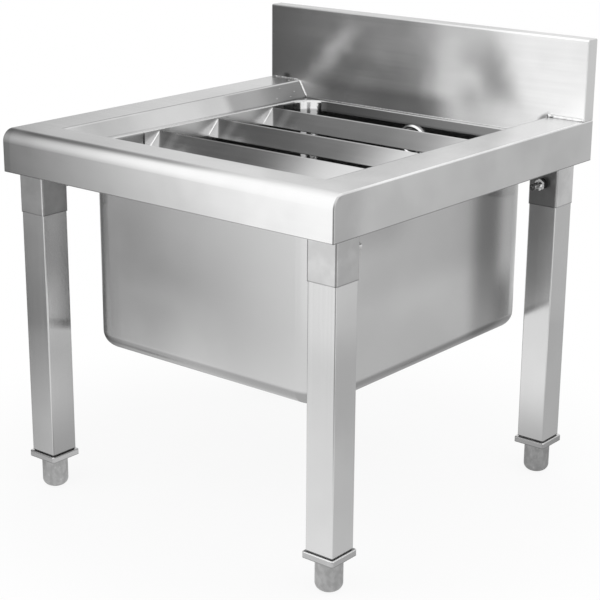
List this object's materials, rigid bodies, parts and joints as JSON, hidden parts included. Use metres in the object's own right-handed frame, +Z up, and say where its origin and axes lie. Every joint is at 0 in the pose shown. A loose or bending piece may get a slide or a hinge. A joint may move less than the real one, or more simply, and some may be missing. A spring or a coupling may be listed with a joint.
{
  "type": "mop sink",
  "caption": "Stainless steel mop sink on square legs with adjustable feet: deep rounded bowl, splashback, bullnose front, inclined wringing slats and a lift-out strainer.",
  "frame": {"origin": "on the floor under the middle of the sink's outline", "axes": "+X to the right seen from the front, +Y to the back, +Z up"},
  "size_m": [0.5, 0.515, 0.5595],
  "materials": {
    "steel_sheet": "satin, finely brushed",
    "bowl_steel": "satin, finely brushed",
    "leg_steel": "satin, brushed along its length",
    "bracket_steel": "plain mill finish",
    "bolt_steel": "bright zinc",
    "cast_foot": "matt, lightly mottled",
    "insert": "satin",
    "chrome": "bright",
    "waste_plastic": "matt, off-white",
    "rubber": "matt black"
  },
  "bodies": {
    "sink": {"deck": "steel_sheet", "splashback": "steel_sheet", "splash_end_left": "steel_sheet", "splash_end_right": "steel_sheet", "rear_rail": "steel_sheet", "bowl": "bowl_steel", "slat_front": "bowl_steel", "slat_middle": "bowl_steel", "slat_rear": "bowl_steel", "rack_side_left": "bowl_steel", "rack_side_right": "bowl_steel", "lock_nuts": "bolt_steel", "lock_screws": "bolt_steel", "waste_cup": "chrome", "waste_seal_upper": "rubber", "waste_seal_lower": "rubber", "waste_slip_ring": "waste_plastic", "waste_backnut": "waste_plastic", "overflow_rosette": "chrome", "overflow_screw": "chrome", "overflow_seal": "rubber", "overflow_elbow": "waste_plastic", "overflow_pipe": "waste_plastic", "overflow_pipe_nuts": "waste_plastic", "gusset_front_left": "bracket_steel", "socket_front_left": "leg_steel", "leg_front_left": "leg_steel", "foot_insert_front_left": "insert", "gusset_front_right": "bracket_steel", "socket_front_right": "leg_steel", "leg_front_right": "leg_steel", "foot_insert_front_right": "insert", "gusset_rear_left": "bracket_steel", "socket_rear_left": "leg_steel", "leg_rear_left": "leg_steel", "foot_insert_rear_left": "insert", "gusset_rear_right": "bracket_steel", "socket_rear_right": "leg_steel", "leg_rear_right": "leg_steel", "foot_insert_rear_right": "insert"},
    "strainer": {"strainer_basket": "chrome", "strainer_knob": "chrome", "strainer_stopper": "rubber"},
    "foot_front_left": {"foot_cup_front_left": "cast_foot", "foot_stud_front_left": "bolt_steel"},
    "foot_front_right": {"foot_cup_front_right": "cast_foot", "foot_stud_front_right": "bolt_steel"},
    "foot_rear_left": {"foot_cup_rear_left": "cast_foot", "foot_stud_rear_left": "bolt_steel"},
    "foot_rear_right": {"foot_cup_rear_right": "cast_foot", "foot_stud_rear_right": "bolt_steel"}
  },
  "joints": [
    {"name": "foot_front_left_screw", "type": "slide", "parent": "sink", "child": "foot_front_left", "axis": [0, 0, -1], "range_m": [0, 0.025]},
    {"name": "foot_front_right_screw", "type": "slide", "parent": "sink", "child": "foot_front_right", "axis": [0, 0, -1], "range_m": [0, 0.025]},
    {"name": "foot_rear_left_screw", "type": "slide", "parent": "sink", "child": "foot_rear_left", "axis": [0, 0, -1], "range_m": [0, 0.025]},
    {"name": "foot_rear_right_screw", "type": "slide", "parent": "sink", "child": "foot_rear_right", "axis": [0, 0, -1], "range_m": [0, 0.025]},
    {"name": "strainer_lift", "type": "slide", "parent": "sink", "child": "strainer", "axis": [0, 0, 1], "range_m": [0, 0.335]}
  ]
}
